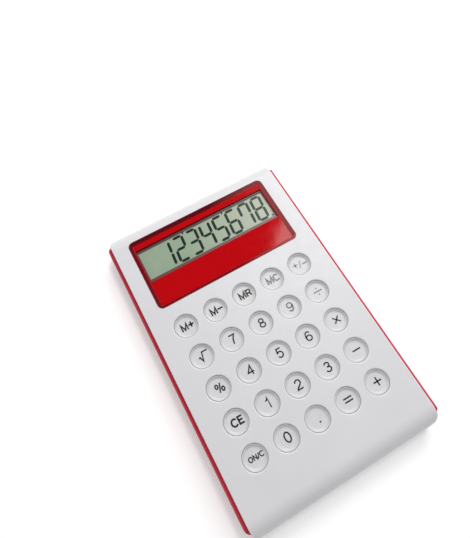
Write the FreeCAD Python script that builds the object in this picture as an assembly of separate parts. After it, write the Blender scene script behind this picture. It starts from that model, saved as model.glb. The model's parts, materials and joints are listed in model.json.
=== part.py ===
"""Slim desk calculator with an eight digit display and twenty-five round dished keys.

A white front cover is bent over both ends like a sheet. A translucent red frame stands out along both long
sides between it and a white rear cover. A red tray is sunk into the front cover, with a window for the display.
Keys drop through the front cover onto a rubber dome mat, the mat lies on a circuit board, and a button cell
sits behind a small door in the rear cover.

Frame: +X to the user's right, +Y towards the display end, +Z up out of the keys. The origin is on the desk,
under the middle of the case. Units are millimetres.
"""
import FreeCAD
import Part
import math
import os

V = FreeCAD.Vector

# ---- driving dimensions -------------------------------------------------------------------------------
case_length = 124.0
case_width = 80.0            # across the red side frame
face_height = 11.0           # desk to the flat of the front cover
cover_width = 76.3           # the white sheet, which is narrower than the frame
sheet = 1.5                  # wall of the front cover
end_roll = 7.0               # outside radius where the front cover bends down at each end
key_pitch_x = 12.8
key_pitch_y = 13.1
key_travel = 0.8
key_radius = 4.5
foot_height = 0.6            # how far the rubber feet lift the rear cover

# ---- heights, from the desk up ---------------------------------------------------------------------
rear_wall = 1.5
floor_low = foot_height
floor_top = floor_low + rear_wall
split_height = 2.8           # where the rear cover ends and the frame and front cover begin
board_low = 4.4
board_top = 5.6
web_top = 6.2                # flat part of the dome mat
dome_top = 8.25
key_low = 8.3
sheet_low = face_height - sheet
frame_top = sheet_low - 0.05
ledge_low = 8.2              # the cover's ledge that the bezel's border rests on
ledge_top = 8.98
tray_low = 9.0
tray_floor = 9.8             # the sunk face of the bezel
bezel_top = face_height + 0.1
lcd_top = 8.5
film = 0.15                  # each of the display's two films
pane = 0.7                   # each of its two panes of glass
rim_z = face_height - 0.5    # top of a key
dish_z = face_height - 1.55  # bottom of a key's dish
flange_top = sheet_low - 0.1
door_top = floor_low + 1.1
foot_seat = floor_low + 0.5  # how deep the feet are let into the rear cover
above = 20.0                 # higher than everything, for cutters

# ---- plan positions ---------------------------------------------------------------------------------
first_row_y = 13.0
column_x = [(i - 2) * key_pitch_x for i in range(5)]
row_y = [first_row_y - j * key_pitch_y for j in range(5)]

bezel_x = 31.6               # half width
bezel_y = (23.4, 55.1)
bezel_corner = 2.2
window_x = 29.9              # half width of the bezel's opening over the display
window_y = (35.9, 51.2)
view_x = 29.5                # half width of the part of the display that shows
view_y = (37.3, 50.3)

glass_x = 29.9
glass_y = (32.2, 53.1)
ledge = 2.6                  # the strip of front glass that carries the display's contacts

board_x = 31.0
board_y = (-49.5, 54.5)
mat_y = (-48.8, 19.6)

case_screw_spots = [(sx * 34.0, y) for sx in (-1, 1) for y in (43.0, 0.0, -43.0)]
board_screw_rows = [first_row_y - k * key_pitch_y for k in (0.5, 2.5, 4.5)]      # midway between key rows
board_screw_spots = [(sx * 1.5 * key_pitch_x, y) for sx in (-1, 1) for y in board_screw_rows]
foot_spots = [(sx * 30.0, sy * 51.0) for sx in (-1, 1) for sy in (-1, 1)]

cell_radius = 5.8            # LR1130 button cell
cell_height = 3.05
cell_at = (-6.0, 27.6)
cell_low = 1.95
door_x = (-15.0, 12.0)
door_y = (19.6, 35.6)
door_screw_at = (7.0, 27.6)

key_names = [
    ["m_plus", "m_minus", "mr", "mc", "sign"],
    ["root", "7", "8", "9", "divide"],
    ["percent", "4", "5", "6", "multiply"],
    ["ce", "1", "2", "3", "minus"],
    ["on_clear", "0", "point", "equals", "plus"],
]


# ---- helpers -----------------------------------------------------------------------------------------
def box(x0, x1, y0, y1, z0, z1):
    return Part.makeBox(x1 - x0, y1 - y0, z1 - z0, V(x0, y0, z0))


def cylinder(x, y, z0, z1, radius):
    return Part.makeCylinder(radius, z1 - z0, V(x, y, z0))


def rounded_wire(x0, x1, y0, y1, radius, z=0.0):
    """A rectangle with round corners in a level plane."""
    s = radius * (1 - math.sqrt(0.5))
    corners = [
        (V(x1, y1 - radius, z), V(x1 - s, y1 - s, z), V(x1 - radius, y1, z)),
        (V(x0 + radius, y1, z), V(x0 + s, y1 - s, z), V(x0, y1 - radius, z)),
        (V(x0, y0 + radius, z), V(x0 + s, y0 + s, z), V(x0 + radius, y0, z)),
        (V(x1 - radius, y0, z), V(x1 - s, y0 + s, z), V(x1, y0 + radius, z)),
    ]
    edges = []
    for k, (start, middle, end) in enumerate(corners):
        edges.append(Part.Arc(start, middle, end).toShape())
        edges.append(Part.makeLine(end, corners[(k + 1) % 4][0]))
    return Part.Wire(edges)


def slab(x0, x1, y0, y1, z0, z1, radius):
    """A plate with round corners in plan."""
    return Part.Face(rounded_wire(x0, x1, y0, y1, radius, z0)).extrude(V(0, 0, z1 - z0))


def arch_wire(half, z0, z1, top_radius, low_radius, turn):
    """A profile, half wide each side, with round top corners and, if asked, round low corners.
    turn maps (across, up) to a point."""
    def arc(cx, cz, radius, start, end):
        spots = [math.radians(a) for a in (start, (start + end) / 2, end)]
        return Part.Arc(*[turn(cx + radius * math.cos(a), cz + radius * math.sin(a)) for a in spots]).toShape()

    r, q = top_radius, low_radius
    edges = [
        Part.makeLine(turn(half, z0 + q), turn(half, z1 - r)),
        arc(half - r, z1 - r, r, 0, 90),
        Part.makeLine(turn(half - r, z1), turn(-half + r, z1)),
        arc(-half + r, z1 - r, r, 90, 180),
        Part.makeLine(turn(-half, z1 - r), turn(-half, z0 + q)),
    ]
    if q:
        edges.append(arc(-half + q, z0 + q, q, 180, 270))
    edges.append(Part.makeLine(turn(-half + q, z0), turn(half - q, z0)))
    if q:
        edges.append(arc(half - q, z0 + q, q, 270, 360))
    return Part.Wire(edges)


def along_x(half_y, z0, z1, top_radius, low_radius, half_x):
    """The side profile, seen along X, pulled across the case."""
    wire = arch_wire(half_y, z0, z1, top_radius, low_radius, lambda a, b: V(-half_x, a, b))
    return Part.Face(wire).extrude(V(2 * half_x, 0, 0))


def along_y(half_x, z0, z1, top_radius, low_radius, half_y):
    """The end profile, seen along Y, pulled down the case."""
    wire = arch_wire(half_x, z0, z1, top_radius, low_radius, lambda a, b: V(a, -half_y, b))
    return Part.Face(wire).extrude(V(0, 2 * half_y, 0))


def turned(points, x, y):
    """A solid of revolution about the vertical through (x, y), from (radius, height) points."""
    wire = Part.makePolygon([V(r, 0, z) for r, z in points + points[:1]])
    solid = Part.Face(wire).revolve(V(0, 0, 0), V(0, 0, 1), 360)
    solid.translate(V(x, y, 0))
    return solid


def arc_points(cx, cz, radius, start, end, steps):
    """Points along an arc, angles in degrees from the first axis."""
    turns = [math.radians(start + (end - start) * k / steps) for k in range(steps + 1)]
    return [(cx + radius * math.cos(a), cz + radius * math.sin(a)) for a in turns]


def lies_at(edge, z, slack=1e-4):
    """True when the whole edge is at height z."""
    b = edge.BoundBox
    return abs(b.ZMin - z) < slack and abs(b.ZMax - z) < slack


# ---- casing ------------------------------------------------------------------------------------------
half_length = case_length / 2
half_width = case_width / 2
cover_half = cover_width / 2
plan_corner = 4.2
frame_corner = 5.0
key_hole_radius = key_radius + 0.12
hole_round = 0.45            # how far each key hole's mouth opens out
edge_round = 0.35            # rounding of the sheet's long edges
case_boss_radius = 2.0
board_boss_radius = 1.6
pilot_radius = 0.8
root = 0.3                   # how far bosses and ribs run into the wall that carries them
foot_radius = 4.0


def bezel_outline(grow, z0, z1):
    """The bezel's plan shape as a block, grown by this much all round."""
    return slab(
        -bezel_x - grow, bezel_x + grow, bezel_y[0] - grow, bezel_y[1] + grow, z0, z1, bezel_corner + grow,
    )


def key_hole(x, y):
    """The cutter for one key hole, its mouth opened out by three narrow slopes."""
    wide = key_hole_radius + hole_round
    mouth = arc_points(wide, face_height - hole_round, hole_round, 180, 90, 3)
    low, high = sheet_low - 1, face_height + 1
    return turned([(0, low), (key_hole_radius, low)] + mouth + [(wide, high), (0, high)], x, y)


def rolled_block():
    """The outside of the front cover, filled in: flat, then bent down round each end, its side edges rounded."""
    roll_y = half_length - end_roll
    roll_z = face_height - end_roll
    middle = along_y(cover_half, split_height, face_height, edge_round, 0, roll_y)
    profile = Part.Face(arch_wire(cover_half, roll_z, face_height, edge_round, 0, lambda a, b: V(a, roll_y, b)))
    roll = profile.revolve(V(0, roll_y, roll_z), V(1, 0, 0), -90)
    wall = box(-cover_half, cover_half, roll_y, half_length, split_height, roll_z)
    far_end = roll.fuse(wall)
    near_end = far_end.mirror(V(0, 0, 0), V(0, 1, 0))
    return middle.fuse([far_end, near_end]).removeSplitter()


def make_front_cover():
    inner = along_x(half_length - sheet, split_height - 1, sheet_low, end_roll - sheet, 0, half_width)
    plan = slab(-cover_half, cover_half, -half_length, half_length, 0, face_height + 1, plan_corner)
    body = rolled_block().common(plan).cut(inner)
    wall = 1.2
    ledge_width = 1.0
    gap = 0.08
    boss_foot = split_height + 0.4
    body = body.fuse(bezel_outline(wall, ledge_low, sheet_low + root))
    body = body.cut([bezel_outline(gap, ledge_top, face_height + 1), bezel_outline(-ledge_width, 0, face_height)])
    for x, y in case_screw_spots:
        body = body.fuse(cylinder(x, y, boss_foot, sheet_low + root, case_boss_radius))
    for x, y in board_screw_spots:
        body = body.fuse(cylinder(x, y, board_top, sheet_low + root, board_boss_radius))
    pilot_end = sheet_low - 0.5
    holes = [key_hole(x, y) for x in column_x for y in row_y]
    holes += [cylinder(x, y, 0, pilot_end, pilot_radius) for x, y in case_screw_spots + board_screw_spots]
    return body.cut(holes).removeSplitter()


def make_side_frame():
    end_gap = 0.05
    half_y = half_length - sheet - end_gap
    top_roll = end_roll - sheet - end_gap
    side_round = 1.75        # the bead that shows beside the front cover
    foot_round = 1.0
    inner_corner = 2.4
    low = split_height + end_gap
    shape = along_x(half_y, low, frame_top, top_roll, 0, half_width)
    shape = shape.common(along_y(half_width, low, frame_top, side_round, foot_round, half_length))
    shape = shape.common(slab(-half_width, half_width, -half_y, half_y, 0, face_height, frame_corner))
    end_wall = 1.9
    hollow_x = half_width - 2 * end_wall
    hollow_y = half_y - end_wall
    return shape.cut(slab(-hollow_x, hollow_x, -hollow_y, hollow_y, 0, above, inner_corner))


def locating_rib():
    """The rib that stands up inside the side frame, with gaps round the screw bosses."""
    half_x, half_y = half_width - 4.0, half_length - 3.7
    wall = 1.2
    corner = 2.6
    rib = slab(-half_x, half_x, -half_y, half_y, floor_top - root, split_height + 1.4, corner)
    rib = rib.cut(slab(-half_x + wall, half_x - wall, -half_y + wall, half_y - wall, 0, above, corner - wall))
    rib = rib.cut([cylinder(x, y, 0, above, case_boss_radius + 0.3) for x, y in case_screw_spots])
    seat_radius = 3.2
    inside = box(-half_x, half_x, -half_y, half_y, 0, above)
    seats = [cylinder(x, y, floor_top - root, split_height + 0.35, seat_radius) for x, y in case_screw_spots]
    return rib.fuse([seat.common(inside) for seat in seats])


def make_rear_cover():
    half_x = half_width - 0.9
    shape = slab(-half_x, half_x, -half_length, half_length, floor_low, split_height, frame_corner)
    low_edges = [edge for edge in shape.Edges if lies_at(edge, floor_low)]
    shape = shape.makeFillet(1.4, low_edges)
    wall = 1.8
    shape = shape.cut(slab(
        -half_x + wall, half_x - wall, -half_length + wall, half_length - wall,
        floor_top, split_height + 1, frame_corner - wall,
    ))
    shape = shape.fuse(locating_rib())

    cell_x, cell_y = cell_at
    cup_wall = 0.9
    cup_radius = cell_radius + 0.2
    cup_top = 3.9
    door_boss_top = 4.1
    shape = shape.fuse(cylinder(cell_x, cell_y, floor_top - root, cup_top, cup_radius + cup_wall))
    shape = shape.fuse(cylinder(*door_screw_at, floor_top - root, door_boss_top, 1.9))
    shape = shape.cut(cylinder(cell_x, cell_y, 0, above, cup_radius))
    shape = shape.cut(door_blank(0.1, 0, door_top + 0.05))
    shape = shape.cut(cylinder(*door_screw_at, 0, above, pilot_radius))
    blade_slot = 2.1
    shape = shape.cut(box(cell_x - cell_radius - 2, cell_x - cell_radius + 1,
                          cell_y - blade_slot, cell_y + blade_slot, floor_top + 0.3, above))

    counterbore_top = floor_low + 1.3
    for x, y in case_screw_spots:
        shape = shape.cut(cylinder(x, y, 0, counterbore_top, screw_head_radius + 0.2))
        shape = shape.cut(cylinder(x, y, 0, above, 1.1))
    for x, y in foot_spots:
        shape = shape.cut(cylinder(x, y, 0, foot_seat, foot_radius + 0.05))
    return shape.removeSplitter()


# ---- display -----------------------------------------------------------------------------------------
rim_land = 0.2               # level strip along the top of the bezel's border
border = 1.3                 # from the bezel's outside to the foot of its slope


def make_display_bezel():
    """A tray: its border slopes down and inwards from the cover's face to a sunk flat, which has the window."""
    def sunk_wire(inset, z):
        r = bezel_corner - 0.8 * inset
        return rounded_wire(-bezel_x + inset, bezel_x - inset, bezel_y[0] + inset, bezel_y[1] - inset, r, z)

    shape = bezel_outline(0, tray_low, bezel_top)
    hollow = Part.makeLoft([sunk_wire(border, tray_floor), sunk_wire(rim_land, bezel_top)], True, True)
    window = slab(-window_x, window_x, *window_y, 0, above, 0.5)
    return shape.cut([hollow, window])


def make_lcd_holder():
    """A frame that holds the glass from above and hides its edges."""
    wall = 0.6
    near_wall = 1.2
    slack = 0.1
    outer = slab(-glass_x - wall, glass_x + wall, glass_y[0] - near_wall, glass_y[1] + wall,
                 board_top + 0.05, ledge_top, 0.5)
    well = box(-glass_x - slack, glass_x + slack, glass_y[0] - slack, glass_y[1] + slack, 0, lcd_top + 0.03)
    return outer.cut([well, slab(-view_x, view_x, *view_y, 0, above, 0.3)])


def display_layer(side, near, far, z0, z1):
    """One flat layer of the display, drawn in from the glass's edges."""
    return box(-glass_x + side, glass_x - side, glass_y[0] + near, glass_y[1] - far, z0, z1)


def make_front_polarizer():
    return display_layer(0.3, ledge + 0.2, 0.4, lcd_top - film, lcd_top)


def make_front_glass():
    return display_layer(0, 0, 0, lcd_top - film - pane, lcd_top - film)


def make_rear_glass():
    top = lcd_top - film - pane
    return display_layer(0, ledge, 0, top - pane, top)


def make_reflector():
    top = lcd_top - film - 2 * pane
    return display_layer(0.6, ledge + 0.4, 0.4, top - film, top)


def make_zebra_strip():
    """The rubber strip that joins the glass's contact ledge to the board."""
    width = ledge - 0.5
    near = 0.2
    far = glass_y[1] - glass_y[0] - near - width
    return display_layer(2.0, near, far, board_top, lcd_top - film - pane)


def make_lcd_back_pad():
    return display_layer(4.0, ledge + 4.0, 4.0, board_top, lcd_top - 2 * film - 2 * pane)


# ---- circuit -----------------------------------------------------------------------------------------
def make_main_board():
    screw_hole = 1.0
    cup_hole = cell_radius + 1.4
    door_boss_hole = 2.3
    shape = slab(-board_x, board_x, *board_y, board_low, board_top, 1.5)
    holes = [cylinder(x, y, 0, above, screw_hole) for x, y in board_screw_spots]
    holes.append(cylinder(*cell_at, 0, above, cup_hole))
    holes.append(cylinder(*door_screw_at, 0, above, door_boss_hole))
    return shape.cut(holes)


def make_contact_tracks():
    """Two printed half discs under each dome."""
    rise = 0.04
    radius = 2.2
    half_gap = 0.2
    parts = []
    for x in column_x:
        for y in row_y:
            disc = cylinder(x, y, board_top, board_top + rise, radius)
            parts.append(disc.cut(box(x - half_gap, x + half_gap, y - radius, y + radius, 0, above)))
    return Part.makeCompound([solid for part in parts for solid in part.Solids])


def make_controller_chip():
    """A chip under a blob of black resin, on the board's underside."""
    x, y = 20.0, 27.0
    radius = 6.0
    rise = 1.2
    ball = (radius ** 2 + rise ** 2) / (2 * rise)
    cap = Part.makeSphere(ball, V(x, y, board_low - rise + ball))
    return cap.common(box(x - ball, x + ball, y - ball, y + ball, 0, board_low))


def make_board_parts():
    """Two rows of chip capacitors and resistors on the underside, with a crystal can."""
    first_x, first_y = -24.0, 40.0
    step_x, step_y = 3.2, 3.0
    length, width, height = 2.0, 1.2, 0.7
    parts = []
    for row in range(2):
        for column in range(3):
            x = first_x + step_x * column
            y = first_y + step_y * row
            parts.append(box(x, x + length, y, y + width, board_low - height, board_low))
    crystal = box(20.0, 26.0, 40.0, 42.2, board_low - 1.4, board_low)
    return Part.makeCompound(parts + [crystal])


def make_cell():
    """A button cell, its smaller pole upwards."""
    bevel = 0.3
    pole_radius = cell_radius - 1.1
    can_top = cell_low + cell_height - 0.4
    cell_top = cell_low + cell_height
    points = [(0, cell_low), (cell_radius - bevel, cell_low), (cell_radius, cell_low + bevel),
              (cell_radius, can_top - bevel), (cell_radius - bevel, can_top), (pole_radius, can_top),
              (pole_radius, cell_top), (0, cell_top)]
    return turned(points, *cell_at)


def make_contact_minus():
    """A spring leaf from the board's top, dipping onto the cell's small face."""
    x, y = cell_at
    leaf = 0.2
    width = 3.0
    dip = cell_low + cell_height + 0.02
    root_end, bend_top, bend_low, tip = 9.6, 5.2, 2.4, -1.6      # distances left of the cell's middle
    path = [(root_end, board_top), (root_end, board_top + leaf), (bend_top, board_top + leaf),
            (bend_low, dip + leaf), (tip, dip + leaf), (tip, dip), (bend_low - 0.1, dip),
            (bend_top - 0.1, board_top)]
    wire = Part.makePolygon([V(x - a, y - width / 2, z) for a, z in path + path[:1]])
    return Part.Face(wire).extrude(V(0, width, 0))


def make_contact_plus():
    """A spring blade standing against the cell's side, with a foot under the board."""
    x = cell_at[0] - cell_radius - 0.05
    y = cell_at[1]
    blade_half = 1.6
    thick = 0.25
    y0, y1 = y - blade_half, y + blade_half
    blade = box(x - thick, x, y0, y1, floor_top + 0.5, board_low)
    foot = box(x - 4.5, x, y0, y1, board_low - thick, board_low)
    return blade.fuse(foot).removeSplitter()


# ---- keypad ------------------------------------------------------------------------------------------
def make_dome_mat():
    """One silicone moulding: a flat web with a hollow dome and a hanging contact pill under each key."""
    low = board_top + 0.05
    foot, crown = 4.3, 2.6       # outside radii of a dome at the web and at its top
    wall = 0.5
    pill = 1.5                   # radius
    ceiling = dome_top - 1.05
    pill_low = low + key_travel
    web = slab(-board_x + 0.5, board_x - 0.5, *mat_y, low, web_top, 1.5)
    shape = web.cut([cylinder(x, y, 0, above, board_boss_radius + 0.3) for x, y in board_screw_spots])
    outside = [(0, low), (foot, low), (foot, web_top), (crown, dome_top - 0.7), (crown, dome_top), (0, dome_top)]
    inside = [(0, board_top), (foot - wall, board_top), (foot - wall, web_top - 0.1), (crown - 0.4, ceiling),
              (pill, ceiling), (pill, pill_low), (0, pill_low)]
    domes = [turned(outside, x, y) for x in column_x for y in row_y]
    hollows = [turned(inside, x, y) for x in column_x for y in row_y]
    return shape.fuse(domes).cut(hollows).removeSplitter()


dish_flat = 2.6              # radius of the level middle of the dish
rim_round = 0.25
flange_radius = 5.3


def make_key(x, y):
    """A cap with a round rim, a dish that runs down as an arc to a flat, and a flange below the cover."""
    rim_radius = key_radius - rim_round
    run = rim_radius - dish_flat
    drop = rim_z - dish_z
    dish_radius = (run ** 2 + drop ** 2) / (2 * drop)
    sweep = math.degrees(math.asin(run / dish_radius))
    rim = arc_points(rim_radius, rim_z - rim_round, rim_round, 0, 90, 4)
    dish = arc_points(dish_flat, dish_z + dish_radius, dish_radius, -90 + sweep, -90, 6)
    base = [(0, key_low), (flange_radius, key_low), (flange_radius, flange_top), (key_radius, flange_top)]
    return turned(base + rim + dish[1:] + [(0, dish_z)], x, y)


# ---- door, feet, screws ------------------------------------------------------------------------------
screw_head_radius = 1.7
shank_radius = pilot_radius - 0.03
screw_tip = 8.4


def door_blank(grow, z0, z1):
    return slab(door_x[0] - grow, door_x[1] + grow, door_y[0] - grow, door_y[1] + grow, z0, z1, 2.0 + grow)


def make_battery_door():
    """A flat door with a sunk screw hole and three finger grooves."""
    shape = door_blank(0, floor_low + 0.05, door_top)
    shape = shape.cut(cylinder(*door_screw_at, 0, above, 1.0))
    shape = shape.cut(cylinder(*door_screw_at, 0, floor_low + 0.75, 1.75))
    groove, pitch, margin = 0.6, 1.4, 4.0
    grooves = []
    for k in range(3):
        x = door_x[0] + 2.0 + pitch * k
        grooves.append(box(x, x + groove, door_y[0] + margin, door_y[1] - margin, 0, floor_low + 0.3))
    return shape.cut(grooves)


def screw(x, y, head_low, head_radius, head_height, tip):
    """A cross head self-tapping screw driven upwards."""
    shoulder = head_low + head_height
    blunt = 0.15
    points = [(0, head_low), (head_radius, head_low), (head_radius, shoulder), (shank_radius, shoulder),
              (shank_radius, tip - shank_radius), (blunt, tip), (0, tip)]
    blade = 0.22
    top = head_low + 0.55 * head_height
    reach = 0.65 * head_radius
    cross = box(x - reach, x + reach, y - blade, y + blade, 0, top).fuse(
        box(x - blade, x + blade, y - reach, y + reach, 0, top))
    return turned(points, x, y).cut(cross)


def make_case_screws():
    head = floor_low + 0.35
    return Part.makeCompound([screw(x, y, head, screw_head_radius, 0.9, screw_tip) for x, y in case_screw_spots])


def make_board_screws():
    head = board_low - 0.8
    return Part.makeCompound([screw(x, y, head, 1.5, 0.78, screw_tip) for x, y in board_screw_spots])


def make_door_screw():
    return screw(*door_screw_at, floor_low + 0.15, 1.6, 0.58, 3.9)


def make_feet():
    bevel = 0.25
    top = foot_seat - 0.02
    points = [(0, 0), (foot_radius - bevel, 0), (foot_radius, bevel), (foot_radius, top), (0, top)]
    return Part.makeCompound([turned(points, x, y) for x, y in foot_spots])


# ---- output ------------------------------------------------------------------------------------------
makers = {
    "front_cover": make_front_cover,
    "rear_cover": make_rear_cover,
    "side_frame": make_side_frame,
    "display_bezel": make_display_bezel,
    "lcd_holder": make_lcd_holder,
    "lcd_front_polarizer": make_front_polarizer,
    "lcd_front_glass": make_front_glass,
    "lcd_rear_glass": make_rear_glass,
    "lcd_reflector": make_reflector,
    "lcd_back_pad": make_lcd_back_pad,
    "zebra_connector": make_zebra_strip,
    "main_board": make_main_board,
    "contact_tracks": make_contact_tracks,
    "controller_chip": make_controller_chip,
    "board_components": make_board_parts,
    "button_cell": make_cell,
    "cell_contact_minus": make_contact_minus,
    "cell_contact_plus": make_contact_plus,
    "keypad_mat": make_dome_mat,
    "battery_door": make_battery_door,
    "battery_door_screw": make_door_screw,
    "case_screws": make_case_screws,
    "board_screws": make_board_screws,
    "rubber_feet": make_feet,
}


def main():
    os.makedirs("parts", exist_ok=True)
    nodes = {name: maker() for name, maker in makers.items()}
    for row, names in enumerate(key_names):
        for column, name in enumerate(names):
            nodes["key_" + name] = make_key(column_x[column], row_y[row])
    for name, shape in nodes.items():
        solids = shape.Solids
        fine = all(s.isValid() and s.Volume > 0 for s in solids)
        print(f"{name:22s} solids {len(solids):3d} volume {sum(s.Volume for s in solids):10.2f} valid {fine}")
        out = solids[0] if len(solids) == 1 else Part.makeCompound(solids)
        out.exportStep(os.path.join("parts", name + ".step"))


main()
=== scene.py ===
"""Looks of the slim desk calculator: mesh work, materials, light and camera. All lengths are in metres."""
import json
import math

import bmesh
import bpy
from mathutils import Matrix, Vector


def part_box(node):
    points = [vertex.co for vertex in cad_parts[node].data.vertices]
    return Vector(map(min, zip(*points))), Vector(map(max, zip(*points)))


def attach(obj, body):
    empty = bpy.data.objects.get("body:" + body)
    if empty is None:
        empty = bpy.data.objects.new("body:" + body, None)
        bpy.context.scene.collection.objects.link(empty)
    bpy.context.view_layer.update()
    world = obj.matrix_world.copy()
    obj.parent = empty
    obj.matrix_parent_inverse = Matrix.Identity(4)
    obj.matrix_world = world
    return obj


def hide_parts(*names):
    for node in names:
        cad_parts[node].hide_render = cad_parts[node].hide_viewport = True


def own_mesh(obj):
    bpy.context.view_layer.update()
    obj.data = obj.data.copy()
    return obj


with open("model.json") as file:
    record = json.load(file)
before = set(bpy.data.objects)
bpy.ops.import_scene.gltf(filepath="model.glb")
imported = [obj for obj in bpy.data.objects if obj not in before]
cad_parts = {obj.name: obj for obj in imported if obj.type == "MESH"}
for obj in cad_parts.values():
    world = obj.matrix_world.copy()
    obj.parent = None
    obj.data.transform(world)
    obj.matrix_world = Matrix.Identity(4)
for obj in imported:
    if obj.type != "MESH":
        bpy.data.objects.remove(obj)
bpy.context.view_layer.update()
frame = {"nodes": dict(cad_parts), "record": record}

MM = 0.001


# ---- shader helpers ----------------------------------------------------------------------------------
def new_material(name, colour, roughness, **sockets):
    """A Principled material. Extra words are socket names with _ for spaces."""
    mat = bpy.data.materials.new(name)
    mat.use_nodes = True
    shader = mat.node_tree.nodes["Principled BSDF"]
    shader.inputs["Base Color"].default_value = (*colour, 1)
    shader.inputs["Roughness"].default_value = roughness
    for word, value in sockets.items():
        shader.inputs[word.replace("_", " ")].default_value = value
    return mat


def add_node(mat, kind, **settings):
    node = mat.node_tree.nodes.new(kind)
    for word, value in settings.items():
        node.inputs[word.replace("_", " ")].default_value = value
    return node


def link(mat, source, target):
    mat.node_tree.links.new(source, target)


def own_space(mat):
    """The node with the piece's own coordinates. A pattern made from them stays put on the piece."""
    place = mat.node_tree.nodes.get("Place")
    if place is None:
        place = mat.node_tree.nodes.new("ShaderNodeTexCoord")
        place.name = "Place"
    return place


def noise(mat, per_metre, detail=3.0):
    texture = add_node(mat, "ShaderNodeTexNoise", Scale=per_metre, Detail=detail)
    link(mat, own_space(mat).outputs["Object"], texture.inputs["Vector"])
    return texture.outputs["Fac"]


def spread(mat, value, low, high):
    """Maps noise to a range."""
    ranger = add_node(mat, "ShaderNodeMapRange", From_Min=0.3, From_Max=0.7, To_Min=low, To_Max=high)
    link(mat, value, ranger.inputs["Value"])
    return ranger.outputs["Result"]


def add_grain(mat, per_metre, height, strength=0.3):
    """A fine moulded grain."""
    shader = mat.node_tree.nodes["Principled BSDF"]
    bump = add_node(mat, "ShaderNodeBump", Strength=strength, Distance=height)
    link(mat, noise(mat, per_metre), bump.inputs["Height"])
    link(mat, bump.outputs["Normal"], shader.inputs["Normal"])


def vary_roughness(mat, per_metre, low, high):
    shader = mat.node_tree.nodes["Principled BSDF"]
    link(mat, spread(mat, noise(mat, per_metre), low, high), shader.inputs["Roughness"])


def mixed(mat, value, low, high, one, two):
    """Colour one where the value is low, two where it is high. Either may be another node's output."""
    ranger = add_node(mat, "ShaderNodeMapRange", From_Min=low, From_Max=high)
    link(mat, value, ranger.inputs["Value"])
    mixer = mat.node_tree.nodes.new("ShaderNodeMix")
    mixer.data_type = "RGBA"
    link(mat, ranger.outputs["Result"], mixer.inputs["Factor"])
    sockets = [place for place in mixer.inputs if place.type == "RGBA"]
    for colour, socket in zip((one, two), sockets):
        if isinstance(colour, tuple):
            socket.default_value = (*colour, 1)
        else:
            link(mat, colour, socket)
    return next(place for place in mixer.outputs if place.type == "RGBA")


def painted_light_across(mat):
    """0 at the left end of the display, 1 at the right end: the ramp along which painted shade and glare change."""
    split = mat.node_tree.nodes.new("ShaderNodeSeparateXYZ")
    link(mat, own_space(mat).outputs["Object"], split.inputs["Vector"])
    ranger = add_node(mat, "ShaderNodeMapRange", From_Min=-0.03, From_Max=0.03)
    link(mat, split.outputs["X"], ranger.inputs["Value"])
    return ranger.outputs["Result"]


def vary_colour(mat, per_metre, one, two):
    shader = mat.node_tree.nodes["Principled BSDF"]
    link(mat, mixed(mat, noise(mat, per_metre), 0.3, 0.7, one, two), shader.inputs["Base Color"])


# ---- materials ---------------------------------------------------------------------------------------
# Light spreads a little way through the white plastics.
WAXY = {"Subsurface_Weight": 0.4, "Subsurface_Radius": (0.9 * MM, 0.8 * MM, 0.8 * MM), "Subsurface_Scale": 1.0}


def white_cover():
    mat = new_material("white_cover", (0.66, 0.66, 0.68), 0.42, IOR=1.5, **WAXY)
    vary_colour(mat, 60, (0.655, 0.652, 0.675), (0.675, 0.672, 0.69))
    vary_roughness(mat, 220, 0.38, 0.46)
    add_grain(mat, 2600, 0.02 * MM, 0.25)
    return mat


def key_white():
    mat = new_material("key_white", (0.63, 0.63, 0.64), 0.42, IOR=1.5, **WAXY)
    vary_colour(mat, 180, (0.62, 0.62, 0.63), (0.64, 0.64, 0.65))
    vary_roughness(mat, 500, 0.39, 0.45)
    add_grain(mat, 1800, 0.01 * MM, 0.1)
    return mat


def bezel_red():
    """Glossy red. The tilted borders have painted shade, standing in for the light that does not come through them:
    dark maroon at the left end, turning to a painted pinkish reflection towards the right end.
    """
    mat = new_material("bezel_red", (0.46, 0.001, 0.003), 0.09, IOR=1.5, Specular_IOR_Level=0.06)
    shader = mat.node_tree.nodes["Principled BSDF"]
    flat = mixed(mat, noise(mat, 90), 0.3, 0.7, (0.44, 0.001, 0.003), (0.47, 0.001, 0.004))
    split = mat.node_tree.nodes.new("ShaderNodeSeparateXYZ")
    link(mat, own_space(mat).outputs["Normal"], split.inputs["Vector"])
    # Painted shade for the tilted borders, dark at the left end, with a painted pinkish reflection growing towards
    # the right end.
    border_painted_shade_and_glare = mixed(mat, painted_light_across(mat), 0.6, 1.0, (0.14, 0.006, 0.012), (0.36, 0.09, 0.09))
    # Level faces keep the plain red; faces that tilt away from level get the painted shade and reflection.
    tilted_painted_shade = mixed(mat, split.outputs["Z"], 0.86, 0.995, border_painted_shade_and_glare, flat)
    link(mat, tilted_painted_shade, shader.inputs["Base Color"])
    vary_roughness(mat, 300, 0.06, 0.12)
    return mat


def frame_red():
    mat = new_material("frame_red", (0.52, 0.006, 0.03), 0.16, IOR=1.5, Specular_IOR_Level=0.4)
    vary_colour(mat, 90, (0.5, 0.005, 0.027), (0.54, 0.007, 0.033))
    vary_roughness(mat, 300, 0.13, 0.2)
    return mat


def lcd_film():
    """Grey-green with a slight mottle, and a painted sheen that makes it paler to the right."""
    mat = new_material("lcd_film", (0.28, 0.35, 0.25), 0.25, IOR=1.5, Specular_IOR_Level=0.3)
    shader = mat.node_tree.nodes["Principled BSDF"]
    left = mixed(mat, noise(mat, 220), 0.35, 0.65, (0.265, 0.35, 0.255), (0.285, 0.36, 0.255))
    # Painted sheen: the right-hand colours are paler than the film's own grey-green.
    right = mixed(mat, noise(mat, 180), 0.35, 0.65, (0.41, 0.45, 0.35), (0.45, 0.47, 0.375))
    link(mat, mixed(mat, painted_light_across(mat), 0.3, 1.0, left, right), shader.inputs["Base Color"])
    add_grain(mat, 5000, 0.005 * MM, 0.1)
    return mat


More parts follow.
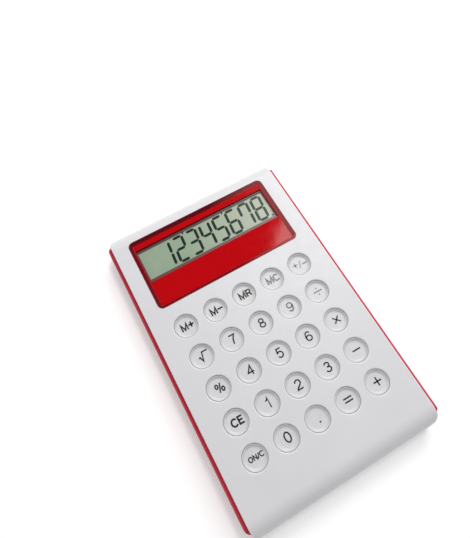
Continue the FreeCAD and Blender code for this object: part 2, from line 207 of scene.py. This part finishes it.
def segment_ink():
    """Black-green, with painted glare that washes it out a little to the right."""
    mat = new_material("segment_ink", (0.01, 0.03, 0.02), 0.3, IOR=1.5, Specular_IOR_Level=0.1)
    shader = mat.node_tree.nodes["Principled BSDF"]
    # Painted glare: the ink grows paler towards the right end of the display.
    link(mat, mixed(mat, painted_light_across(mat), 0.6, 1.0, (0.006, 0.024, 0.016), (0.06, 0.09, 0.075)),
         shader.inputs["Base Color"])
    vary_roughness(mat, 900, 0.25, 0.35)
    return mat


def legend_ink():
    mat = new_material("legend_ink", (0.012, 0.012, 0.014), 0.2, IOR=1.5)
    vary_colour(mat, 2500, (0.009, 0.009, 0.01), (0.018, 0.018, 0.02))
    return mat


def plain(name, colour, roughness, grain, **sockets):
    """For pieces that stay hidden inside or underneath: one colour with a slight drift and a fine grain."""
    mat = new_material(name, colour, roughness, **sockets)
    darker = tuple(0.85 * c for c in colour)
    vary_colour(mat, 250, darker, colour)
    add_grain(mat, grain, 0.02 * MM, 0.2)
    return mat


def make_materials():
    return {
        "white_cover": white_cover(),
        "red_translucent": frame_red(),
        "key_white": key_white(),
        "dark_frame": plain("dark_frame", (0.13, 0.035, 0.035), 0.35, 2000),
        "lcd_film": lcd_film(),
        "lcd_glass": plain("lcd_glass", (0.7, 0.78, 0.7), 0.05, 800, Transmission_Weight=0.8),
        "lcd_reflector": plain("lcd_reflector", (0.6, 0.66, 0.56), 0.3, 4000, Metallic=0.6),
        "foam": plain("foam", (0.06, 0.06, 0.06), 0.9, 3000),
        "zebra_rubber": plain("zebra_rubber", (0.55, 0.5, 0.36), 0.6, 3000),
        "board_green": plain("board_green", (0.01, 0.12, 0.04), 0.25, 1500),
        "carbon_print": plain("carbon_print", (0.02, 0.02, 0.02), 0.6, 3000),
        "black_resin": plain("black_resin", (0.01, 0.01, 0.01), 0.15, 900),
        "ceramic_parts": plain("ceramic_parts", (0.4, 0.28, 0.14), 0.5, 3000),
        "nickel_steel": plain("nickel_steel", (0.6, 0.58, 0.54), 0.25, 2500, Metallic=1.0),
        "silicone": plain("silicone", (0.45, 0.45, 0.47), 0.55, 2500),
        "zinc_steel": plain("zinc_steel", (0.5, 0.5, 0.5), 0.3, 2500, Metallic=1.0),
        "foot_rubber": plain("foot_rubber", (0.03, 0.03, 0.03), 0.75, 2500),
    }


def paint_frame(materials):
    for part in frame["record"]["subparts"]:
        node = frame["nodes"][part["node"]]
        for place in node.material_slots:
            place.material = materials[part["material_slot"]]


# ---- mesh helpers ------------------------------------------------------------------------------------
def add_piece(name, mesh, mat, body):
    piece = bpy.data.objects.new(name, mesh)
    bpy.context.scene.collection.objects.link(piece)
    mesh.materials.clear()
    mesh.materials.append(mat)
    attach(piece, body)
    return piece


def lathe(profile, centre, steps=96):
    """A solid of revolution about a vertical through centre, from (radius, height) points with r = 0 ends."""
    bm = bmesh.new()
    rings = []
    for radius, z in profile:
        if radius == 0:
            rings.append([bm.verts.new((centre[0], centre[1], z))] * steps)
            continue
        turns = [2 * math.pi * k / steps for k in range(steps)]
        rings.append([bm.verts.new((centre[0] + radius * math.cos(a), centre[1] + radius * math.sin(a), z))
                      for a in turns])
    for low, high in zip(rings, rings[1:]):
        for k in range(steps):
            corners = []
            for v in (low[k], low[(k + 1) % steps], high[(k + 1) % steps], high[k]):
                if v not in corners:
                    corners.append(v)
            bm.faces.new(corners).smooth = True
    bmesh.ops.recalc_face_normals(bm, faces=bm.faces)
    return finished(bm, "lathe")


def finished(bm, name):
    mesh = bpy.data.meshes.new(name)
    bm.to_mesh(mesh)
    bm.free()
    return mesh


def arc(cx, cz, radius, start, end, steps):
    """Points along an arc, angles in degrees."""
    turns = [math.radians(start + (end - start) * k / steps) for k in range(steps + 1)]
    return [(cx + radius * math.cos(a), cz + radius * math.sin(a)) for a in turns]


# ---- bezel -------------------------------------------------------------------------------------------
BEZEL_CORNER = 2.2 * MM
TRAY_DEPTH = 1.3 * MM        # rim down to the sunk face
WINDOW_X = 29.9 * MM         # half width
WINDOW_Y = (35.9 * MM, 51.2 * MM)
WINDOW_CORNER = 0.5 * MM


def rounded_ring(bm, half_x, y0, y1, radius, z, steps=10):
    """A closed ring of vertices round a rectangle with rounded corners."""
    spots = []
    for turn, cx, cy in ((0, half_x - radius, y1 - radius), (90, -half_x + radius, y1 - radius),
                         (180, -half_x + radius, y0 + radius), (270, half_x - radius, y0 + radius)):
        spots += arc(cx, cy, radius, turn, turn + 90, steps)
    return [bm.verts.new((x, y, z)) for x, y in spots]


def bend(start, corner, end, steps=6):
    """Points along a smooth bend from start to end, shaped by the corner between them."""
    points = []
    for k in range(steps + 1):
        t = k / steps
        blend = ((1 - t) ** 2, 2 * t * (1 - t), t * t)
        points.append(tuple(sum(w * value for w, value in zip(blend, trio)) for trio in zip(start, corner, end)))
    return points


def make_bezel(mat):
    """The red tray as one smooth piece: rounded rim, bordering slopes, sunk face and window."""
    low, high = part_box("display_bezel")
    tray = high.z - TRAY_DEPTH
    rim = [(0, low.z)] + bend((0, high.z - 0.15 * MM), (0, high.z), (0.12 * MM, high.z))
    rim += bend((0.15 * MM, high.z), (0.2 * MM, high.z), (0.32 * MM, high.z - 0.142 * MM))
    rim += bend((1.05 * MM, tray + 0.3 * MM), (1.3 * MM, tray), (1.5 * MM, tray)) + [(1.53 * MM, tray)]
    window = [(0.12 * MM, tray)] + bend((0.1 * MM, tray), (0, tray), (0, tray - 0.1 * MM), 4) + [(0, low.z)]
    bm = bmesh.new()
    rings = []
    for inset, z in rim:
        rings.append(rounded_ring(bm, high.x - inset, low.y + inset, high.y - inset, BEZEL_CORNER - 0.8 * inset, z))
    for grow, z in window:
        rings.append(rounded_ring(bm, WINDOW_X + grow, WINDOW_Y[0] - grow, WINDOW_Y[1] + grow,
                                  WINDOW_CORNER + grow, z))
    count = len(rings[0])
    for one, two in zip(rings, rings[1:] + rings[:1]):
        for k in range(count):
            bm.faces.new((one[k], one[(k + 1) % count], two[(k + 1) % count], two[k])).smooth = True
    bmesh.ops.remove_doubles(bm, verts=bm.verts, dist=1e-7)
    bmesh.ops.recalc_face_normals(bm, faces=bm.faces)
    bezel = add_piece("bezel_tray", finished(bm, "bezel"), mat, "case")
    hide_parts("display_bezel")
    return bezel


# ---- keys --------------------------------------------------------------------------------------------
KEY_NAMES = [part["node"] for part in frame["record"]["subparts"] if part["node"].startswith("key_")]
CAP_RADIUS = 4.55 * MM
DISH_FLAT = 3.2 * MM
DISH_DEPTH = 0.75 * MM
RIM_ROUND = 0.3 * MM


def key_centre(node):
    low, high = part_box(node)
    return (low.x + high.x) / 2, (low.y + high.y) / 2


def dish_radius():
    run = CAP_RADIUS - RIM_ROUND - DISH_FLAT
    return (run ** 2 + DISH_DEPTH ** 2) / (2 * DISH_DEPTH)


def dish_height(node, r):
    """Height of a key's dish at distance r from its middle."""
    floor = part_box(node)[1].z - DISH_DEPTH
    over = max(0.0, r - DISH_FLAT)
    bowl = dish_radius()
    return floor + bowl - math.sqrt(bowl ** 2 - over ** 2)


def make_key_cap(node, mat):
    """The key as one smooth turned shape: rounded rim, dish and flange."""
    low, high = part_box(node)
    flange = (high.x - low.x) / 2
    flange_top = low.z + 1.1 * MM
    edge = 0.1 * MM
    bowl = dish_radius()
    run = CAP_RADIUS - RIM_ROUND - DISH_FLAT
    sweep = math.degrees(math.asin(run / bowl))
    profile = [(0, low.z), (flange - edge, low.z), (flange, low.z + edge), (flange, flange_top - edge),
               (flange - edge, flange_top), (CAP_RADIUS + edge, flange_top), (CAP_RADIUS, flange_top + edge)]
    profile += arc(CAP_RADIUS - RIM_ROUND, high.z - RIM_ROUND, RIM_ROUND, 0, 90, 10)
    profile += arc(DISH_FLAT, high.z - DISH_DEPTH + bowl, bowl, -90 + sweep, -90, 16)[1:]
    profile += [(0, high.z - DISH_DEPTH)]
    cap = add_piece(node + "_cap", lathe(profile, key_centre(node)), mat, node)
    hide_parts(node)
    return cap


# ---- legends -----------------------------------------------------------------------------------------
def bow(cx, cy, rx, ry, start, end, steps=14):
    """Points along part of an ellipse, angles in degrees, anticlockwise when end is above start."""
    turns = [math.radians(start + (end - start) * k / steps) for k in range(steps + 1)]
    return [(cx + rx * math.cos(a), cy + ry * math.sin(a)) for a in turns]


# Every sign is a list of pen lines. A capital is 1 high, with its middle at 0, 0.
SIX = [bow(0.01, 0.17, 0.27, 0.28, 25, 150) + bow(0.0, -0.02, 0.3, 0.45, 165, 200, 4)[1:]
       + bow(0.0, -0.19, 0.29, 0.27, 180, 540, 26)]
SIGNS = {
    "0": [bow(0, 0, 0.29, 0.46, 0, 360, 30)],
    "1": [[(-0.2, 0.24), (-0.06, 0.28), (0.03, 0.36), (0.07, 0.5), (0.07, -0.5)]],
    "2": [bow(0.0, 0.19, 0.28, 0.27, 170, -30, 16) + [(0.06, -0.12), (-0.22, -0.32), (-0.3, -0.46), (0.31, -0.46)]],
    "3": [bow(-0.01, 0.23, 0.25, 0.22, 165, -90, 16) + bow(-0.01, -0.22, 0.29, 0.24, 90, -165, 18)],
    "4": [[(0.33, -0.2), (-0.32, -0.2), (0.14, 0.46), (0.14, -0.5)]],
    "5": [[(0.27, 0.46), (-0.18, 0.46), (-0.25, 0.03)] + bow(-0.01, -0.16, 0.29, 0.3, 142, -155, 20)],
    "6": SIX,
    "7": [[(-0.3, 0.46), (0.3, 0.46), (0.13, 0.2), (-0.01, -0.1), (-0.08, -0.5)]],
    "8": [bow(0, 0.235, 0.235, 0.215, -90, 270, 24), bow(0, -0.215, 0.285, 0.235, 90, 450, 26)],
    "9": [[(-x, -y) for x, y in SIX[0]]],
    "M": [[(-0.4, -0.5), (-0.4, 0.45), (0, -0.4), (0.4, 0.45), (0.4, -0.5)]],
    "R": [[(-0.28, -0.5), (-0.28, 0.45), (0.08, 0.45)] + bow(0.08, 0.21, 0.23, 0.24, 75, -90, 10)
          + [(-0.28, -0.03)], [(0.08, -0.03), (0.33, -0.5)]],
    "C": [bow(0.02, 0, 0.4, 0.46, 38, 322, 26)],
    "E": [[(0.3, 0.45), (-0.3, 0.45), (-0.3, -0.45), (0.32, -0.45)], [(-0.3, 0.02), (0.25, 0.02)]],
    "O": [bow(0, 0, 0.4, 0.46, 0, 360, 30)],
    "N": [[(-0.32, -0.5), (-0.32, 0.45), (0.32, -0.45), (0.32, 0.5)]],
    "/": [[(-0.2, -0.52), (0.2, 0.52)]],
    "+": [[(-0.4, 0), (0.4, 0)], [(0, -0.4), (0, 0.4)]],
    "-": [[(-0.4, 0), (0.4, 0)]],
    "%": [bow(-0.28, 0.2, 0.14, 0.2, 0, 360, 20), bow(0.28, -0.2, 0.14, 0.2, 0, 360, 20),
          [(-0.17, -0.46), (0.17, 0.46)]],
    "root": [[(-0.5, -0.1), (-0.36, 0.0), (-0.18, -0.48), (0.02, 0.44), (0.6, 0.44)]],
    "x": [[(-0.33, -0.33), (0.33, 0.33)], [(-0.33, 0.33), (0.33, -0.33)]],
    "divide": [[(-0.48, 0), (0.48, 0)], [(-0.07, 0.36), (0.07, 0.36)], [(-0.07, -0.36), (0.07, -0.36)]],
    "=": [[(-0.46, 0.17), (0.46, 0.17)], [(-0.46, -0.17), (0.46, -0.17)]],
    "plus": [[(-0.44, 0), (0.44, 0)], [(0, -0.44), (0, 0.44)]],
    "minus": [[(-0.46, 0), (0.46, 0)]],
    "point": [[(-0.08, -0.38), (0.08, -0.38)]],
}
SIGN_WIDTH = {"M": 1.08, "R": 0.88, "C": 0.98, "E": 0.86, "O": 1.08, "N": 0.94, "/": 0.5, "+": 0.92, "-": 0.92}
DIGIT_SIZE = 3.7 * MM        # height of a lone figure
WORD_SIZE = 2.8 * MM         # height of the capitals of a word
SMALL_WORD = 1.75 * MM        # height of a word with four letters
THIN = 0.52 * MM
BOLD = 0.64 * MM
LEGEND_SHIFT = 0.5 * MM      # the print sits a little right of each key's middle
LEGENDS = {
    "key_m_plus": "M+", "key_m_minus": "M-", "key_mr": "MR", "key_mc": "MC", "key_sign": "+/-",
    "key_ce": "CE", "key_on_clear": "ON/C",
}
LONE_SIGNS = {"key_percent": "%", "key_root": "root", "key_multiply": "x", "key_divide": "divide",
              "key_minus": "minus", "key_plus": "plus", "key_equals": "=", "key_point": "point"}


def pen_line(bm, spots, width):
    """A flat ribbon of even width along the spots, with mitred joints. A line that ends where it began is closed."""
    spots = [Vector((x, y)) for x, y in spots]
    closed = (spots[0] - spots[-1]).length < width / 4
    if closed:
        spots.pop()
    count = len(spots)
    rims = []
    for k, spot in enumerate(spots):
        before = spots[k - 1] if closed or k > 0 else None
        after = spots[(k + 1) % count] if closed or k < count - 1 else None
        runs = [(b - a).normalized() for a, b in ((before, spot), (spot, after)) if a is not None and b is not None]
        sides = [Vector((-run.y, run.x)) for run in runs]
        side = sum(sides, Vector((0, 0))).normalized()
        side *= width / 2 / max(0.35, side.dot(sides[0]))
        rims.append([bm.verts.new((*(spot + side), 0)), bm.verts.new((*(spot - side), 0))])
    pairs = list(zip(rims, rims[1:])) + ([(rims[-1], rims[0])] if closed else [])
    for one, two in pairs:
        bm.faces.new((one[0], one[1], two[1], two[0]))


def legend_outline(node):
    """The flat ink shape of a key's legend, about its middle."""
    bm = bmesh.new()
    if node not in LEGENDS:
        sign = LONE_SIGNS.get(node, node[-1])
        for line in SIGNS[sign]:
            pen_line(bm, [(x * DIGIT_SIZE, y * DIGIT_SIZE) for x, y in line], THIN)
        return finished(bm, "legend")
    word = LEGENDS[node]
    size = SMALL_WORD if len(word) > 3 else WORD_SIZE
    width = BOLD * size / WORD_SIZE
    lifts = {}
    if node == "key_sign":
        width = THIN
        lifts = {"+": 0.12, "-": -0.12}
    at = -sum(SIGN_WIDTH[c] for c in word) / 2
    for c in word:
        middle = at + SIGN_WIDTH[c] / 2
        lift = lifts.get(c, 0)
        for line in SIGNS[c]:
            pen_line(bm, [((middle + x) * size, (y + lift) * size) for x, y in line], width)
        at += SIGN_WIDTH[c]
    return finished(bm, "legend")


def drape_on_dish(mesh, node):
    """Lays a flat outline in the key's dish as a thin layer of ink."""
    cx, cy = key_centre(node)
    layer = 0.015 * MM
    for v in mesh.vertices:
        v.co.x += LEGEND_SHIFT
        z = dish_height(node, math.hypot(v.co.x, v.co.y)) + layer
        v.co = Vector((v.co.x + cx, v.co.y + cy, z))


def make_legend(node, mat):
    mesh = legend_outline(node)
    drape_on_dish(mesh, node)
    return add_piece(node + "_legend", mesh, mat, node)


# ---- display -----------------------------------------------------------------------------------------
DIGIT_HEIGHT = 12.0 * MM
DIGIT_WIDTH = 5.3 * MM
DIGIT_PITCH = 6.29 * MM
SEGMENT = 1.2 * MM
LEAN = math.tan(math.radians(5.0))
LAST_DIGIT_RIGHT = 27.8 * MM
DIGIT_BASE = 37.75 * MM
LIT = {"1": "bc", "2": "abged", "3": "abgcd", "4": "fgbc", "5": "afgcd", "6": "afgedc", "7": "fabc", "8": "abcdefg"}


def segment_corners(which, left, base):
    """The six corners of one bar, leaning with the digit."""
    w, h, s = DIGIT_WIDTH, DIGIT_HEIGHT, SEGMENT
    gap = 0.1 * MM
    rows = {"a": h - s / 2, "g": h / 2, "d": s / 2}
    columns = {"f": (s / 2, h / 2, h - s / 2), "b": (w - s / 2, h / 2, h - s / 2),
               "e": (s / 2, s / 2, h / 2), "c": (w - s / 2, s / 2, h / 2)}
    if which in rows:
        y = rows[which]
        x0, x1 = s / 2 + gap, w - s / 2 - gap
        t = s / 2
        flat = [(x0, y), (x0 + t, y - t), (x1 - t, y - t), (x1, y), (x1 - t, y + t), (x0 + t, y + t)]
    else:
        x, y0, y1 = columns[which]
        y0, y1 = y0 + gap, y1 - gap
        t = s / 2
        flat = [(x, y0), (x + t, y0 + t), (x + t, y1 - t), (x, y1), (x - t, y1 - t), (x - t, y0 + t)]
    return [(left + x + (y - h / 2) * LEAN, base + y) for x, y in flat]


def make_digits(mat):
    film_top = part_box("lcd_front_polarizer")[1].z
    z = film_top + 0.02 * MM
    bm = bmesh.new()
    for place, digit in enumerate("12345678"):
        left = LAST_DIGIT_RIGHT - DIGIT_WIDTH - (7 - place) * DIGIT_PITCH
        for which in LIT[digit]:
            bm.faces.new([bm.verts.new((x, y, z)) for x, y in segment_corners(which, left, DIGIT_BASE)])
    for place in (1, 4):
        x = LAST_DIGIT_RIGHT - (7 - place) * DIGIT_PITCH + (DIGIT_PITCH - DIGIT_WIDTH) / 2 + 0.4 * MM
        y = DIGIT_BASE + DIGIT_HEIGHT
        tick = [(-0.35, -0.5), (0.15, -0.5), (0.45, 0.5), (-0.15, 0.5)]      # millimetres
        bm.faces.new([bm.verts.new((x + a * MM, y + b * MM, z)) for a, b in tick])
    dot = 0.42 * MM
    x, y = LAST_DIGIT_RIGHT + 0.9 * MM, DIGIT_BASE + dot
    bm.faces.new([bm.verts.new((x + a * dot, y + b * dot, z)) for a, b in ((-1, -1), (1, -1), (1, 1), (-1, 1))])
    return add_piece("display_digits", finished(bm, "digits"), mat, "case")


# ---- dome mat ----------------------------------------------------------------------------------------
WEB_THICK = 0.55 * MM
DOME_WALL = 0.55 * MM
DOME_FOOT = 4.3 * MM         # outside radius at the web
DOME_CROWN = 2.6 * MM        # outside radius at the top


def make_dome(node, mat):
    """One rubber dome under its key, fixed to the case."""
    mat_low, mat_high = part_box("keypad_mat")
    web_top = mat_low.z + WEB_THICK
    top = mat_high.z
    ceiling = top - DOME_WALL
    edge = 0.1 * MM
    profile = [(0, ceiling), (DOME_CROWN - 0.5 * MM, ceiling), (DOME_FOOT - DOME_WALL, web_top), (DOME_FOOT, web_top),
               (DOME_CROWN + 0.25 * MM, top - 0.6 * MM), (DOME_CROWN, top - edge), (DOME_CROWN - edge, top), (0, top)]
    cx, cy = key_centre(node)
    dome = add_piece(node + "_dome", lathe(profile, (cx, cy), 48), mat, "case")
    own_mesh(dome)
    return dome


def make_mat_web(mat):
    """The flat part of the mat, cut away in small steps round the bosses that the board's screws go into."""
    low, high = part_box("keypad_mat")
    web_top = low.z + WEB_THICK
    bm = bmesh.new()
    bmesh.ops.create_grid(bm, x_segments=48, y_segments=54, size=0.5)
    for v in bm.verts:
        v.co.x = (low.x + high.x) / 2 + v.co.x * (high.x - low.x)
        v.co.y = (low.y + high.y) / 2 + v.co.y * (high.y - low.y)
        v.co.z = web_top
    screws_low, screws_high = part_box("board_screws")
    head = 1.5 * MM
    opening = 2.8 * MM
    near, far = screws_low.y + head, screws_high.y - head
    bosses = [Vector((x, y, web_top)) for x in (screws_low.x + head, screws_high.x - head)
              for y in (near, (near + far) / 2, far)]
    cut = [f for f in bm.faces if any((f.calc_center_median() - spot).length < opening for spot in bosses)]
    bmesh.ops.delete(bm, geom=cut, context="FACES")
    top = list(bm.faces)
    sunk = bmesh.ops.extrude_face_region(bm, geom=top)["geom"]
    for v in (g for g in sunk if isinstance(g, bmesh.types.BMVert)):
        v.co.z = low.z
    bmesh.ops.recalc_face_normals(bm, faces=bm.faces)
    web = add_piece("mat_web", finished(bm, "web"), mat, "case")
    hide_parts("keypad_mat")
    return web


# ---- stage -------------------------------------------------------------------------------------------
CAMERA_AT = Vector((-20.83, -22.95, 157.6)) * MM
LOOK = Vector((0.14722, 0.30089, -0.94223))
CAMERA_ROLL = -3.42          # degrees
LENS = 25.9


def make_camera():
    data = bpy.data.cameras.new("camera")
    data.lens = LENS
    data.sensor_width = 36
    data.clip_start = 0.005
    camera = bpy.data.objects.new("camera", data)
    bpy.context.scene.collection.objects.link(camera)
    back = -LOOK.normalized()
    level = Vector((0, 0, 1)).cross(back).normalized()
    right = Matrix.Rotation(math.radians(CAMERA_ROLL), 3, back) @ level
    up = back.cross(right)
    camera.matrix_world = Matrix.Translation(CAMERA_AT) @ Matrix((right, up, back)).transposed().to_4x4()
    bpy.context.scene.camera = camera


def make_floor():
    bm = bmesh.new()
    bmesh.ops.create_grid(bm, x_segments=1, y_segments=1, size=1.5)
    mesh = finished(bm, "floor")
    floor = bpy.data.objects.new("floor", mesh)
    bpy.context.scene.collection.objects.link(floor)
    mat = new_material("floor", (0.9, 0.9, 0.9), 0.6, Emission_Color=(1, 1, 1, 1), Emission_Strength=0.16)
    mesh.materials.append(mat)


def add_softbox(name, place, size, power):
    data = bpy.data.lights.new(name, "AREA")
    data.shape = "RECTANGLE"
    data.size, data.size_y = size
    data.energy = power
    lamp = bpy.data.objects.new(name, data)
    bpy.context.scene.collection.objects.link(lamp)
    lamp.location = place
    lamp.rotation_euler = Vector(place).to_track_quat("Z", "Y").to_euler()


def make_light():
    world = bpy.data.worlds.new("studio")
    world.use_nodes = True
    world.node_tree.nodes["Background"].inputs["Color"].default_value = (1, 1, 1, 1)
    world.node_tree.nodes["Background"].inputs["Strength"].default_value = 0.5
    bpy.context.scene.world = world
    add_softbox("small_softbox", (0.244, 0.22, 0.6), (0.07, 0.082), 0.5)
    add_softbox("glare_softbox", (0.195, 0.134, 0.6), (0.13, 0.12), 0.55)
    add_softbox("side_softbox", (0.35, 0.33, 0.4), (0.25, 0.25), 1.15)
    add_softbox("far_softbox", (0.3, 0.8, 0.9), (0.9, 0.5), 3.8)
    bpy.context.scene.view_settings.view_transform = "Standard"


# ---- the whole ---------------------------------------------------------------------------------------
def main():
    materials = make_materials()
    paint_frame(materials)
    make_camera()
    make_floor()
    make_light()
    ink = legend_ink()
    make_bezel(bezel_red())
    make_mat_web(materials["silicone"])
    for node in KEY_NAMES:
        make_key_cap(node, materials["key_white"])
        make_legend(node, ink)
        make_dome(node, materials["silicone"])
    make_digits(segment_ink())


main()
